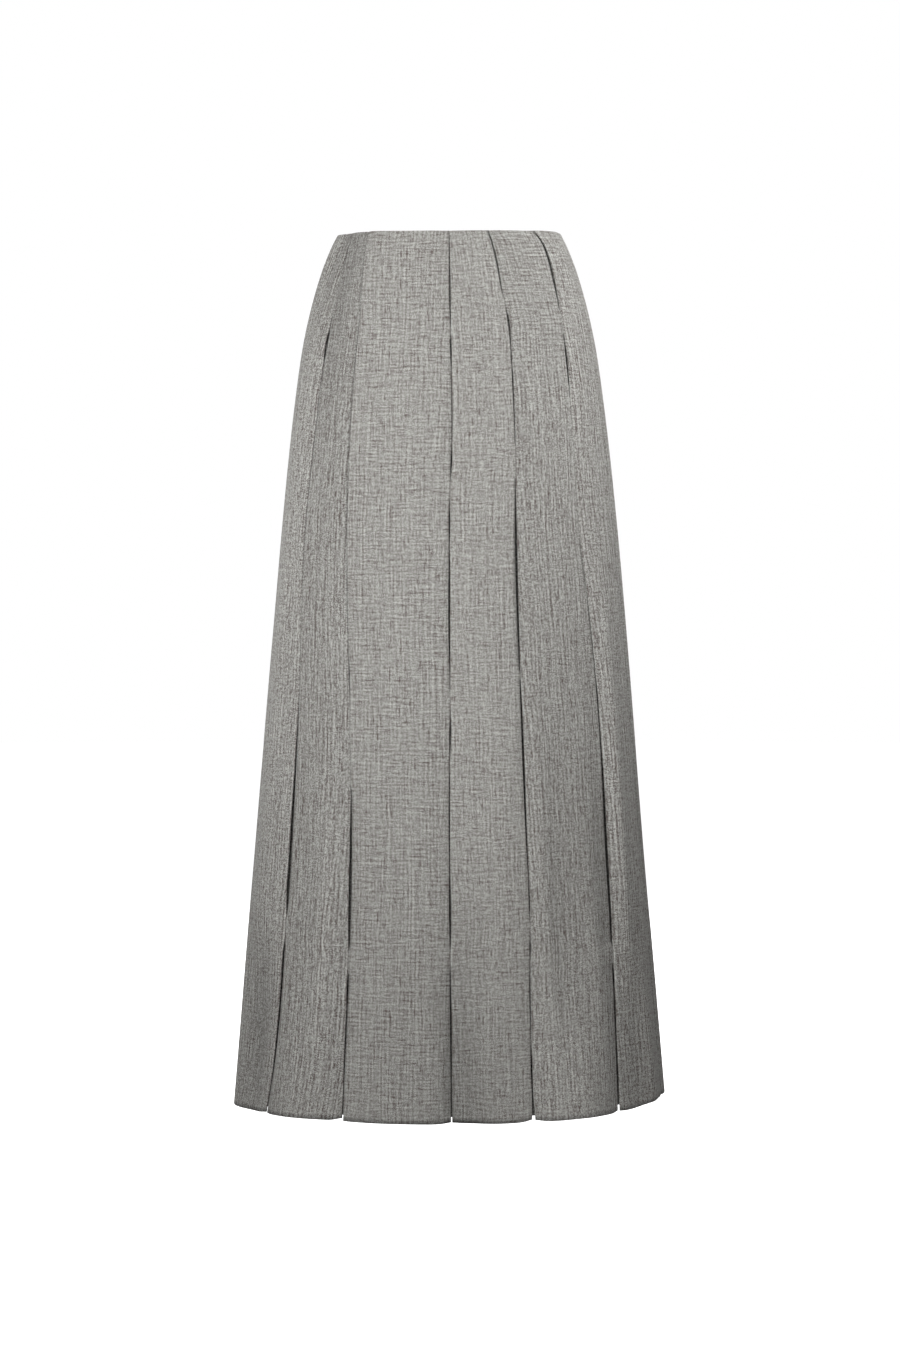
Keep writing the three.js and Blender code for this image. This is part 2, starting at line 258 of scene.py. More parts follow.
# The corner beneath an edge that stands prouder than the other is dark.
CONTACT_SHADE = 0.7
CONTACT_REACH = 2.4  # how far from the line that reaches, past the step's own height
CONTACT_STEP = 2  # the height of a step that makes it fully dark

# How far each side's corner rises at the hem, and sinks at the waist edge.
CORNER_COLUMNS = "low_hem high_hem low_waist high_waist"
CORNERS = {
    "right_outer": (1.2, 0.3, 0.2, 0.3),
    "right_inner": (2.8, 0, 0.3, 0.2),
    "centre_front": (0.9, 0.5, 0.2, 0.2),
    "left_inner": (2.4, 1.8, 0.4, 0.2),
    "left_outer": (1.8, 1.0, 1.2, 0.5),
    "left_front_side": (0.3, 0.2, 0.2, 0.2),
}
USUAL_CORNER = (1.5, 1, 0.3, 0.3)
CORNER_REACH = 9  # how far from the line the cloth is drawn up
CORNER_HEIGHT = 26  # how far above the hem that starts: half as far below the waist edge

# Soft folds that run down the cloth: the angle and drop of each one's middle, its length, width,
# height and lean. A ridge has a height above 0, and a trough one below 0. The lean is how many
# degrees round the body the fold's foot lies past its head.
FOLDS = (
    (27.5, 710, 640, 11, 3.2, 2),
    (33.5, 620, 560, 11, -1.4, 2),
    (39, 520, 420, 12, -0.7, 1),
    (44.5, 750, 520, 12, 2.4, 1),
    (38, 940, 380, 16, 2.6, 0),
    (59, 570, 620, 14, 7, 1),
    (5.5, 950, 620, 24, -9, 3),
    (42, 900, 420, 30, 3.5, 0),
    (32, 950, 460, 34, 9, 2),
    (15, 660, 480, 22, 2.2, 6),
    (62, 890, 340, 26, -1, 0),
    (68, 880, 320, 14, 3.4, 0),
    (-37.5, 740, 460, 12, 4, 0),
    (-43, 950, 480, 30, 5, 0),
    (-68, 845, 300, 30, -10, 0),
    (-74, 10, 260, 12, -4.5, 0),
    (-53, 90, 420, 17, -4.5, -2),
    (-64, 10, 320, 24, -6, 5),
    (-47, 240, 420, 12, -1.2, 3),
    (-50, 460, 420, 9, -0.6, 1),
    (-70, 420, 620, 12, 1.0, 2),
    (-78, 760, 420, 13, -1.3, 1),
    (-12, 830, 260, 10, -1.0, 3),
    (-6.5, 790, 120, 4.5, 1.2, 2.5),
    (-3.5, 800, 110, 3.5, -1.3, 2),
    (-16, 520, 520, 20, 0.8, 1),
    (-24, 330, 420, 12, -0.5, -1),
    (10, 860, 240, 13, 1.4, 1),
    (14, 460, 420, 9, 0.6, 0),
    (18.5, 330, 180, 5, -1.2, 1),
    (12, 170, 230, 10, -0.5, 2),
    (30, 150, 200, 10, 0.7, 2),
    (40, 130, 260, 11, -0.7, -2),
    (58, 150, 260, 9, 0.9, 3),
    (66, 200, 260, 9, -0.9, 2),
    (86, 420, 640, 16, 1.6, 0),
    (97, 640, 620, 18, -1.8, 1),
    (101, 240, 360, 14, 1.0, 1),
    (118, 560, 700, 17, 1.6, 1),
    (127, 700, 520, 18, -1.7, 2),
    (134, 300, 420, 14, 0.9, -1),
    (153, 620, 640, 17, -1.5, 1),
    (163, 480, 760, 19, 1.8, 0),
    (172, 740, 420, 15, -1.2, -1),
    (188, 520, 700, 18, 1.5, 1),
    (198, 700, 520, 17, -1.7, -1),
    (205, 320, 420, 12, 0.8, 1),
    (219, 600, 680, 15, 1.7, -1),
    (229, 720, 460, 15, -1.5, 0),
    (247, 460, 700, 16, 1.4, 1),
    (256, 680, 560, 15, -1.6, 1),
)

# The hand of each gore's cloth, from the wearer's right side round: how light it is, how far its
# lengthwise threads show over the crosswise ones at the waist and lower down, from 0 to 1, and how
# boldly its threads differ.
HANDS = (
    (1.02, 0.8, 0.8, 1.3),
    (0.935, 0.75, 0.88, 1.08),
    (1.01, 0.5, 0.5, 0.92),
    (1.05, 0.53, 0.53, 0.97),
    (0.955, 0.4, 0.8, 1.05),
    (0.995, 0.6, 0.8, 1.25),
    (0.985, 0.7, 0.7, 1.1),
    (1.0, 0.5, 0.5, 1),
    (0.98, 0.6, 0.6, 1),
    (1.0, 0.55, 0.55, 1),
    (0.975, 0.7, 0.7, 1.05),
    (1.0, 0.6, 0.6, 1),
)
HAND_CHANGES = (70, 180)  # the drops between which the waist's share gives way to the lower one
UNDERLAY_HAND = (0.97, 0.6, 1)
UNDERLAY_SEED = 20  # where the first one's pattern of threads starts: the gores' start from 0

# The concealed zip behind the centre-back seam.
ZIP_TOP = 2
ZIP_LENGTH = 200
ZIP_TAPE_WIDTH = 12


class Skirt_ClothSettings(bpy.types.PropertyGroup):
    """The cloth and how it is sewn."""

    wall: bpy.props.FloatProperty(
        name="Wall", description="Thickness of one layer of cloth", default=0.0007, unit="LENGTH"
    )
    crisp: bpy.props.FloatProperty(
        name="Pressed edge", description="How far round a pressed edge is", default=0.00045, unit="LENGTH"
    )
    layer_gap: bpy.props.FloatProperty(
        name="Layer gap", description="Space between layers that lie together", default=0.00035,
        unit="LENGTH",
    )
    underlay_lift: bpy.props.FloatProperty(
        name="Underlay lift", description="How much higher the underlays are hemmed", default=0.004,
        unit="LENGTH",
    )
    row_step: bpy.props.FloatProperty(
        name="Row step", description="Distance between the mesh's rows", default=0.0036, unit="LENGTH"
    )
    dark_thread: bpy.props.FloatVectorProperty(
        name="Dark thread", description="Colour of the darkest slubs", subtype="COLOR",
        default=(0.115, 0.088, 0.082),
    )
    ground: bpy.props.FloatVectorProperty(
        name="Ground", description="Colour of the cloth between slubs", subtype="COLOR",
        default=(0.316, 0.31, 0.292),
    )
    light_thread: bpy.props.FloatVectorProperty(
        name="Light thread", description="Colour of the lightest slubs", subtype="COLOR",
        default=(0.6, 0.603, 0.568),
    )
    contrast: bpy.props.FloatProperty(
        name="Contrast", description="How far the threads' colours differ", default=0.47
    )
    slubs: bpy.props.FloatProperty(
        name="Slubs", description="How dark the thick slubs are", default=1.5
    )
    roughness: bpy.props.FloatProperty(
        name="Roughness", description="Roughness of the cloth", default=0.9, subtype="FACTOR"
    )


class Skirt_ZipSettings(bpy.types.PropertyGroup):
    """The zip's own sizes and colours."""

    tape_wall: bpy.props.FloatProperty(
        name="Tape wall", description="Thickness of the woven tape", default=0.0006, unit="LENGTH"
    )
    coil_pitch: bpy.props.FloatProperty(
        name="Coil pitch", description="Distance between the coil's turns", default=0.0013, unit="LENGTH"
    )
    tape_colour: bpy.props.FloatVectorProperty(
        name="Tape", description="Colour of the tape", subtype="COLOR", default=(0.25, 0.247, 0.236)
    )
    metal_colour: bpy.props.FloatVectorProperty(
        name="Metal", description="Colour of the slider and its pull", subtype="COLOR",
        default=(0.15, 0.15, 0.147),
    )


class Skirt_StudioSettings(bpy.types.PropertyGroup):
    """The floor, lights and camera round the skirt."""

    floor_below_hem: bpy.props.FloatProperty(
        name="Floor below hem", description="How far the floor lies below the hem", default=0.16,
        unit="LENGTH",
    )
    key_power: bpy.props.FloatProperty(
        name="Key light", description="Power of the light in front", default=4.22, unit="POWER"
    )
    top_power: bpy.props.FloatProperty(
        name="Top light", description="Power of the light high in front", default=4.75, unit="POWER"
    )
    right_power: bpy.props.FloatProperty(
        name="Right light", description="Power of the light on the wearer's right", default=0.58,
        unit="POWER",
    )
    left_power: bpy.props.FloatProperty(
        name="Left light", description="Power of the light on the wearer's left", default=2.85, unit="POWER"
    )
    air: bpy.props.FloatProperty(
        name="Air", description="Strength of the even light from all round", default=0.22
    )
    back_power: bpy.props.FloatProperty(
        name="Back light", description="Power of the light behind", default=70, unit="POWER"
    )
    lens: bpy.props.FloatProperty(
        name="Lens", description="Focal length in millimetres", default=110.3
    )
    pitch: bpy.props.FloatProperty(
        name="Pitch", description="How far the camera looks down", default=math.radians(2.61),
        subtype="ANGLE",
    )


# ---- The form ----


def curve(rows, column, at):
    """A table's column at any value of its first one, on a smooth curve that doesn't overshoot."""
    stations = rows[next(iter(rows))]
    values = rows[column]
    steps = np.diff(stations)
    slopes = np.diff(values) / steps
    product = slopes[:-1] * slopes[1:]
    both = np.where(product > 0, slopes[:-1] + slopes[1:], 1)
    inner = np.where(product > 0, 2 * product / both, 0)
    tangents = np.concatenate((slopes[:1], inner, slopes[-1:]))
    i = np.clip(np.searchsorted(stations, at, side="right") - 1, 0, len(steps) - 1)
    t = np.clip((at - stations[i]) / steps[i], 0, 1)
    start = values[i] * (1 + 2 * t) * (1 - t) ** 2 + tangents[i] * steps[i] * t * (1 - t) ** 2
    end = values[i + 1] * t**2 * (3 - 2 * t) + tangents[i + 1] * steps[i] * t**2 * (t - 1)
    return start + end


def soft_step(low, high, at):
    """0 below low, 1 above high, and smooth between."""
    t = np.clip((at - low) / (high - low), 0, 1)
    return t * t * (3 - 2 * t)


def wrapped(angle):
    """An angle in degrees from -180 to 180."""
    return (angle + 180) % 360 - 180


def depth_at(drop, angle):
    """The outline's half width, and its depth on the side where the angle lies."""
    front = curve(SECTIONS, "front", drop)
    back = curve(SECTIONS, "back", drop)
    facing_front = np.cos(np.radians(angle)) > 0
    return curve(SECTIONS, "half_width", drop), np.where(facing_front, front, back)


def pace(drop, angle):
    """Millimetres along the outline for each degree."""
    half, depth = depth_at(drop, angle)
    t = np.radians(angle)
    return np.radians(np.hypot(half * np.cos(t), depth * np.sin(t)))


SMALL_FOLD_SEED = 7
SMALL_FOLD_STEP = 3.1  # degrees from one group of small folds to the next
SMALL_FOLD_GROUP = 3
SMALL_FOLD_SCATTER = 1.5  # degrees either way from the group's own angle
SMALL_FOLD_DROPS = (60, 880)
SMALL_FOLD_LENGTHS = (110, 380)
SMALL_FOLD_WIDTHS = (3, 8)
SMALL_FOLD_HEIGHTS = (0.05, 0.22)
SMALL_FOLD_LEANS = (-1.2, 1.2)


def small_folds():
    """Faint folds at uneven places all round, which the larger ones ride over."""
    draw = np.random.default_rng(SMALL_FOLD_SEED)
    first = LINE_ANGLES[LINE_NAMES[0]][0]
    rows = []
    for angle in np.arange(first, first + 360, SMALL_FOLD_STEP):
        for _ in range(SMALL_FOLD_GROUP):
            at = angle + draw.uniform(-SMALL_FOLD_SCATTER, SMALL_FOLD_SCATTER)
            drop = draw.uniform(*SMALL_FOLD_DROPS)
            length = draw.uniform(*SMALL_FOLD_LENGTHS)
            width = draw.uniform(*SMALL_FOLD_WIDTHS)
            height = draw.uniform(*SMALL_FOLD_HEIGHTS) * draw.choice((-1, 1))
            lean = draw.uniform(*SMALL_FOLD_LEANS)
            rows.append((at, drop, length, width, height, lean))
    return rows


ALL_FOLDS = [*FOLDS, *small_folds()]
FOLD_REACH = 3  # widths of a fold past which it is flat


def folds_out(drop, angle):
    """How far the folds push the cloth out at each place."""
    out = np.zeros(np.broadcast(drop, angle).shape)
    scale = pace(drop, angle)
    low, high = angle.min(), angle.max()
    for at, middle, length, width, height, lean in ALL_FOLDS:
        near = wrapped(at - (low + high) / 2)
        if abs(near) > (high - low) / 2 + FOLD_REACH * width / scale.min() + abs(lean):
            continue
        down = np.clip((drop - middle) / (length / 2), -1, 1)
        across = wrapped(angle - at - lean * down / 2) * scale / width
        out += height * np.exp(-across**2) * (1 - down**2) ** 2
    return out


# Painted light: raised folds are painted lighter, and sunk places and the hem darker, in place of the light
# and shade that falls on them.
PAINTED_LIGHT_PER_MM = 0.026  # how much lighter the cloth is painted for each millimetre that it stands out, as a painted highlight, and darker where sunk, as painted shade
MOST_PAINTED_LIGHT = 0.28
HEM_SHADE = 0.6  # how much darker the hem's cut edge is
HEM_SHADE_FROM = 3.4  # above the hem, where it starts to darken
HEM_SHADE_TO = 1.2  # above the hem, where it is fully dark


def painted_fold_light_and_shade(drop, angle, sunk):
    """The cloth's painted light: a painted highlight on raised folds, painted shade where sunk and at the
    hem.
    """
    on_folds = np.clip(PAINTED_LIGHT_PER_MM * (folds_out(drop, angle) - sunk), -MOST_PAINTED_LIGHT, MOST_PAINTED_LIGHT)
    at_hem = soft_step(WAIST_TO_HEM - HEM_SHADE_FROM, WAIST_TO_HEM - HEM_SHADE_TO, drop)
    return on_folds - HEM_SHADE * at_hem


def place(drop, angle, inward, rise=0):
    """Points of the cloth in metres, at a depth inside the outline."""
    half, depth = depth_at(drop, angle)
    t = np.radians(angle)
    depth_in = inward - folds_out(drop, angle)
    across, along = depth * np.sin(t), half * np.cos(t)
    size = np.hypot(across, along)
    hem_rise = curve(HEM_RISE, "rise", wrapped(angle)) * (drop / WAIST_TO_HEM) ** HEM_RISE_POWER
    waist_rise = curve(WAIST_RISE, "rise", wrapped(angle)) * (1 - soft_step(0, WAIST_RISE_REACH, drop))
    x = half * np.sin(t) - depth_in * across / size
    y = -depth * np.cos(t) + depth_in * along / size
    z = hem_rise + waist_rise + rise - drop
    return np.stack((x, y, z), -1) * MM


class PleatLine:
    """A line where two gores meet, with what its low side and its high side do down the skirt."""

    def __init__(self, name, turns=0):
        self.name = name
        angles = np.array(LINE_ANGLES[name], float) + 360 * turns
        self.angles = {"drop": np.array(LINE_DROPS, float), "angle": angles}
        self.layers = BACK_SEAM if name == "centre_back" else PLEATS
        self.edges = table(EDGE_COLUMNS, *EDGES[name])
        corners = CORNERS.get(name, USUAL_CORNER)
        self.corners = dict(zip(CORNER_COLUMNS.split(), corners))

    def angle(self, drop):
        return curve(self.angles, "angle", drop)

    def layer(self, column, drop):
        return curve(self.layers, column, drop)

    def joined(self, drop):
        """1 where the edges meet flush, 0 where they don't."""
        flush = np.zeros(drop.shape)
        for top, bottom in JOINS[self.name]:
            soft = min(JOIN_SOFT, (bottom - top) / 2)
            window = soft_step(top, top + soft, drop) - soft_step(bottom - soft, bottom, drop)
            flush = np.maximum(flush, window)
        return flush

    def slit(self, drop):
        """The gap between the edges."""
        gap = CLOSED_SLIT * (1 - JOIN_TIGHTENS * self.joined(drop))
        for top, widest, bottom, width in OPENINGS[self.name]:
            reach = np.where(drop < widest, widest - top, bottom - widest)
            share = np.clip(1 - np.abs(drop - widest) / reach, 0, 1)
            gap = gap + width * np.sin(share * math.pi / 2)
        return gap

    def sink(self, side, away, drop):
        """How deep the face lies at a distance from the line on its low or high side."""
        deep = curve(self.edges, side + "_sink", drop) * (1 - JOIN_LIFTS * self.joined(drop))
        roll = curve(self.edges, side + "_roll", drop)
        return deep * np.clip(1 - away / roll, 0, 1) ** 2

    def deepest(self, drop):
        """How deep the deeper of the two edges lies."""
        edge = np.zeros(drop.shape)
        return np.maximum(self.sink("low", edge, drop), self.sink("high", edge, drop))

    def contact(self, side, away, drop):
        """How dark a side lies in the corner beneath the other side's edge."""
        edge = np.zeros(drop.shape)
        other = "high" if side == "low" else "low"
        step = np.maximum(self.sink(side, edge, drop) - self.sink(other, edge, drop), 0)
        near = np.clip(1 - away / (CONTACT_REACH + step), 0, 1)
        full = np.clip(step / CONTACT_STEP, 0, 1) * (1 - self.joined(drop))
        return CONTACT_SHADE * full * near**2

    def corner(self, side, away, drop):
        """How far the cloth is drawn up at the hem's corner and down at the waist's."""
        near = np.exp(-((away / CORNER_REACH) ** 2))
        at_hem = soft_step(WAIST_TO_HEM - CORNER_HEIGHT, WAIST_TO_HEM, drop) ** 2
        at_waist = 1 - soft_step(0, CORNER_HEIGHT / 2, drop)
        return near * (self.corners[side + "_hem"] * at_hem - self.corners[side + "_waist"] * at_waist)


# The first line stands at the end again, a turn on, to close the ring.
LINES = [PleatLine(name) for name in LINE_NAMES]
LINES.append(PleatLine(LINE_NAMES[0], turns=1))

RIM_STEPS = (0, 0.25, 0.7, 1.6)  # distances of the rows beside a cut edge
RIM_ROUND = 0.8  # how far from a cut edge its rounding starts
RIM_SHARE = 0.38  # of the wall, taken off each side at the edge


def drops_between(top, bottom, step):
    """Rows from one cut edge to the other, close together beside both."""
    middle = np.arange(top + RIM_STEPS[-1] + step / 2, bottom - RIM_STEPS[-1] - step / 2, step)
    rows = [*(top + d for d in RIM_STEPS), *middle, *(bottom - d for d in reversed(RIM_STEPS))]
    return np.array(rows)[:, None]


def rim_thinning(drops, wall):
    """How much each side of the cloth draws in beside its cut edges."""
    edge = np.minimum(drops - drops.min(), drops.max() - drops)
    return RIM_SHARE * wall * (1 - np.clip(edge / RIM_ROUND, 0, 1)) ** 2


# ---- Meshes ----


def shell_mesh(name, outer, inner):
    """A closed sheet between two grids of points, rows down and columns round the body."""
    rows, columns = outer.shape[:2]
    ring = np.concatenate((outer, inner[:, ::-1]), 1)
    around = ring.shape[1]
    k = np.arange(around)
    top = np.arange(rows - 1)[:, None] * around
    a, b = top + k, top + (k + 1) % around
    sides = np.stack((a, a + around, b + around, b), -1).reshape(-1, 4)
    c = np.arange(columns - 1)
    cap = np.stack((c, c + 1, around - 2 - c, around - 1 - c), -1)
    faces = np.concatenate((sides, cap, cap[:, ::-1] + (rows - 1) * around))
    mesh = bpy.data.meshes.new(name)
    mesh.from_pydata(ring.reshape(-1, 3).tolist(), [], faces.tolist())
    mesh.shade_smooth()
    return mesh


def lay_weave(mesh, across, down, seed, hand):
    """Tells the cloth's finish where each point lies in its piece, and the hand there, with painted light
    and shade.
    """
    for name, values in (("cloth_place", (across, down, float(seed))), ("cloth_hand", hand)):
        outer = np.stack([value + 0 * across for value in values], -1)
        both = np.concatenate((outer, outer[:, ::-1]), 1)
        attribute = mesh.attributes.new(name, "FLOAT_VECTOR", "POINT")
        attribute.data.foreach_set("vector", both.astype(np.float32).ravel())


def flat_measure(grid):
    """Distances across each row from its middle and down the middle column, in millimetres."""
    middle = grid.shape[1] // 2
    across = np.cumsum(np.linalg.norm(np.diff(grid, axis=1), axis=2), 1) / MM
    across = np.pad(across, ((0, 0), (1, 0)))
    across = across - across[:, middle:middle + 1]
    down = np.cumsum(np.linalg.norm(np.diff(grid[:, middle], axis=0), axis=1)) / MM
    return across, np.pad(down, (1, 0))[:, None]


def add_piece(name, mesh, material, body, stands_for):
    """A new piece of the skirt that rides on its body in place of the solids that it stands for."""
    piece = bpy.data.objects.new(name, mesh)
    bpy.context.scene.collection.objects.link(piece)
    mesh.materials.append(material)
    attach(piece, body)
    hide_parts(*stands_for)
    return piece


TURN_COLUMNS = 4
BEND_COLUMNS = 8
FACE_COLUMNS = 30
EVEN_SHARE = 0.55  # how even the face's columns are: the rest crowd towards its edges
FOLD_SHADE = 0.4  # how much darker the cloth is inside its folds
FOLD_SHADE_ENDS = (-10, 80)  # degrees round a fold, towards the face, between which that fades
MOST_SHADE = 0.6
SUNK_ROUNDS = 0.22  # how much rounder a fold is for each millimetre that it is sunk
LEAST_ROUND = 0.12  # of the inside of a fold


class GoreSection:
    """The columns of a gore: its face, both edges folded round, and the cloth turned back."""

    def __init__(self, low, high, cloth):
        self.low, self.high = low, high
        self.wall = cloth.wall / MM
        self.crisp = cloth.crisp / MM

    def edge(self, line, side, inside, drops):
        """Distances from the line and depths, from the turned-back end round to the face."""
        air = line.layer("air", drops)
        turn_back = line.layer("turn_back", drops)
        sunk = np.maximum(line.sink(side, np.zeros(drops.shape), drops), 0)
        crisp = (self.crisp + SUNK_ROUNDS * sunk) * (1 - JOIN_SHARPENS * line.joined(drops))
        deep = self.wall + air / 2
        start = line.slit(drops) / 2
        thin = rim_thinning(drops, self.wall)
        if inside:
            crisp = np.maximum(crisp - self.wall, LEAST_ROUND)
            deep = air / 2
            start = start + self.wall
            thin = -thin
        turned = np.linspace(1, 0, TURN_COLUMNS, endpoint=False)
        around = np.radians(np.linspace(-90, 90, BEND_COLUMNS))
        straight = start + crisp + turned * (turn_back - crisp)
        folded = start + crisp * (1 - np.cos(around))
        away = np.concatenate((straight, folded), 1)
        skin = self.wall if inside else 0
        lying = skin + 2 * deep - thin + 0 * turned
        bending = skin + deep * (1 - np.sin(around)) + thin * np.sin(around)
        return away, np.concatenate((lying, bending), 1)

    def columns(self, inside, drops):
        """Angles and depths from the low line's turned-back cloth over the face to the high line's."""
        low_angle, high_angle = self.low.angle(drops), self.high.angle(drops)
        low_away, low_deep = self.edge(self.low, "high", inside, drops)
        high_away, high_deep = self.edge(self.high, "low", inside, drops)
        low = low_angle + low_away / pace(drops, low_angle)
        high = high_angle - high_away / pace(drops, high_angle)
        even = np.linspace(0, 1, FACE_COLUMNS)
        crowded = (1 - np.cos(math.pi * even)) / 2
        shares = (EVEN_SHARE * even + (1 - EVEN_SHARE) * crowded)[1:-1]
        face = low[:, -1:] + (high[:, -1:] - low[:, -1:]) * shares
        thin = rim_thinning(drops, self.wall)
        face_deep = (self.wall - thin if inside else thin) + 0 * face
        angle = np.concatenate((low, face, high[:, ::-1]), 1)
        return angle, np.concatenate((low_deep, face_deep, high_deep[:, ::-1]), 1)

    def shade(self, from_low, from_high, drops):
        """How dark the cloth is inside its folds and in the corners beneath prouder edges."""
        around = np.linspace(-90, 90, BEND_COLUMNS)
        folded = np.concatenate((np.ones(TURN_COLUMNS), 1 - soft_step(*FOLD_SHADE_ENDS, around)))
        low = FOLD_SHADE * folded * (1 - self.low.joined(drops))
        high = FOLD_SHADE * folded[::-1] * (1 - self.high.joined(drops))
        face = np.zeros((len(drops), FACE_COLUMNS - 2))
        shade = np.concatenate((low, face, high), 1)
        shade = shade + self.low.contact("high", from_low, drops)
        shade = shade + self.high.contact("low", from_high, drops)
        return np.minimum(shade, MOST_SHADE)

    def grid(self, inside, drops):
        """Points in metres, rows down and columns round the body, and each one's painted light and shade."""
        angle, deep = self.columns(inside, drops)
        low_angle, high_angle = self.low.angle(drops), self.high.angle(drops)
        from_low = (angle - low_angle) * pace(drops, low_angle)
        from_high = (high_angle - angle) * pace(drops, high_angle)
        share = np.clip((angle - low_angle) / (high_angle - low_angle), 0, 1)
        bow = curve(PLEATS, "bow", drops) * 4 * share * (1 - share)
        sunk = self.low.sink("high", from_low, drops) + self.high.sink("low", from_high, drops)
        rise = self.low.corner("high", from_low, drops) + self.high.corner("low", from_high, drops)
        # Painted highlight on raised folds; painted shade where sunk, at the hem, inside folds and beneath
        # prouder edges.
        tone = painted_fold_light_and_shade(drops, angle, sunk) - self.shade(from_low, from_high, drops)
        return place(drops, angle, deep + sunk - bow, rise), tone


def gore_name(i):
    return f"front_gore_{i + 1}" if i < FRONT_GORES else f"back_gore_{i + 1 - FRONT_GORES}"


class SKIRT_OT_sew_gores(bpy.types.Operator):
    """Makes the twelve gores, each with its pressed edges turned back."""

    bl_idname = "skirt.sew_gores"
    bl_label = "Sew gores"

    def execute(self, context):
        cloth = context.scene.skirt_cloth
        material = cloth_finish(cloth)
        drops = drops_between(0, WAIST_TO_HEM, cloth.row_step / MM)
        changed = soft_step(*HAND_CHANGES, drops)
        for i, (tone, at_waist, lengthwise, bold) in enumerate(HANDS):
            section = GoreSection(LINES[i], LINES[i + 1], cloth)
            outer, painted_tone = section.grid(False, drops)
            inner, _ = section.grid(True, drops)
            across, down = flat_measure(outer)
            # The gore's own tone, times its painted highlight and painted shade.
            hand = (tone * (1 + painted_tone), at_waist + (lengthwise - at_waist) * changed, bold)
            mesh = shell_mesh(f"gore_{i + 1}", outer, inner)
            lay_weave(mesh, across, down, i, hand)
            name = gore_name(i)
            piece = add_piece(f"{name}_cloth", mesh, material, "skirt", [name])
        return {"FINISHED"}


UNDERLAY_COLUMNS = 13
UNDERLAY_ROWS = 1.6  # how much further apart its rows are than a gore's


class SKIRT_OT_sew_underlays(bpy.types.Operator):
    """Makes the underlay strip behind each pleat line."""

    bl_idname = "skirt.sew_underlays"
    bl_label = "Sew underlays"

    def execute(self, context):
        cloth = context.scene.skirt_cloth
        material = cloth_finish(cloth)
        wall, gap = cloth.wall / MM, cloth.layer_gap / MM
        bottom = WAIST_TO_HEM - cloth.underlay_lift / MM
        drops = drops_between(0, bottom, UNDERLAY_ROWS * cloth.row_step / MM)
        thin = rim_thinning(drops, wall)
        pleated = [line for line in LINES[:-1] if line.name != "centre_back"]
        for i, line in enumerate(pleated):
            angle, slit = line.angle(drops), line.slit(drops)
            reach = line.layer("turn_back", drops) + slit / 2
            shares = np.linspace(-1, 1, UNDERLAY_COLUMNS)
            angles = angle + shares * reach / pace(drops, angle)
            hollow = line.layer("hollow", drops) * (1 - shares**2)
            behind = 2 * wall + line.layer("air", drops) + gap + line.deepest(drops)
            outer = place(drops, angles, behind + hollow + thin)
            inner = place(drops, angles, behind + hollow + wall - thin)
            across, down = flat_measure(outer)
            mesh = shell_mesh(f"underlay_{i + 1}", outer, inner)
            lay_weave(mesh, across, down, UNDERLAY_SEED + i, UNDERLAY_HAND)
            name = f"pleat_underlay_{i + 1}"
            piece = add_piece(f"{name}_cloth", mesh, material, "skirt", [name])
        return {"FINISHED"}


# ---- Zip ----

TAPE_COLUMNS = 7
TAPE_ROWS = 2  # how much further apart a tape's rows are than a gore's
TAPE_SETBACK = 0.4  # from the seam's edge to the tape's

COIL_SIDES = 6
COIL_TURN_POINTS = 10
COIL_REACH = 1.3  # how far a turn reaches either way from the coil's middle
COIL_MIDDLE = 0.75  # of that reach, from the seam to the coil's middle
COIL_DEPTH = 0.55
COIL_THREAD = 0.24
COIL_CLEAR = 0.1  # between the coil and its tape
COIL_TOP = 18  # from the tape's top to the coil's
COIL_FOOT = 4  # from the coil's foot to the tape's

METAL_PIECES = (  # node, body, and how wide its edges are rounded, in metres
    ("zip_slider", "skirt", 0.00018),
    ("zip_pull", "pull", 0.00028),
)
METAL_EDGE = math.radians(35)  # edges sharper than this are rounded
METAL_EDGE_STEPS = 3


def tube_mesh(name, path, radius, sides):
    """A thin closed tube along a path of points."""
    ahead = np.gradient(path, axis=0)
    ahead /= np.linalg.norm(ahead, axis=1)[:, None]
    side = np.cross(ahead, (0, 0, 1.0))
    side /= np.linalg.norm(side, axis=1)[:, None]
    up = np.cross(side, ahead)
    turn = np.linspace(0, 2 * math.pi, sides, endpoint=False)[None, :, None]
    ring = path[:, None] + radius * (np.cos(turn) * side[:, None] + np.sin(turn) * up[:, None])
    count = len(path)
    k = np.arange(sides)
    base = np.arange(count - 1)[:, None] * sides
    a, b = base + k, base + (k + 1) % sides
    faces = np.stack((a, b, b + sides, a + sides), -1).reshape(-1, 4).tolist()
    faces.append(k[::-1].tolist())
    faces.append((k + (count - 1) * sides).tolist())
    mesh = bpy.data.meshes.new(name)
    mesh.from_pydata(ring.reshape(-1, 3).tolist(), [], faces)
    mesh.shade_smooth()
    return mesh


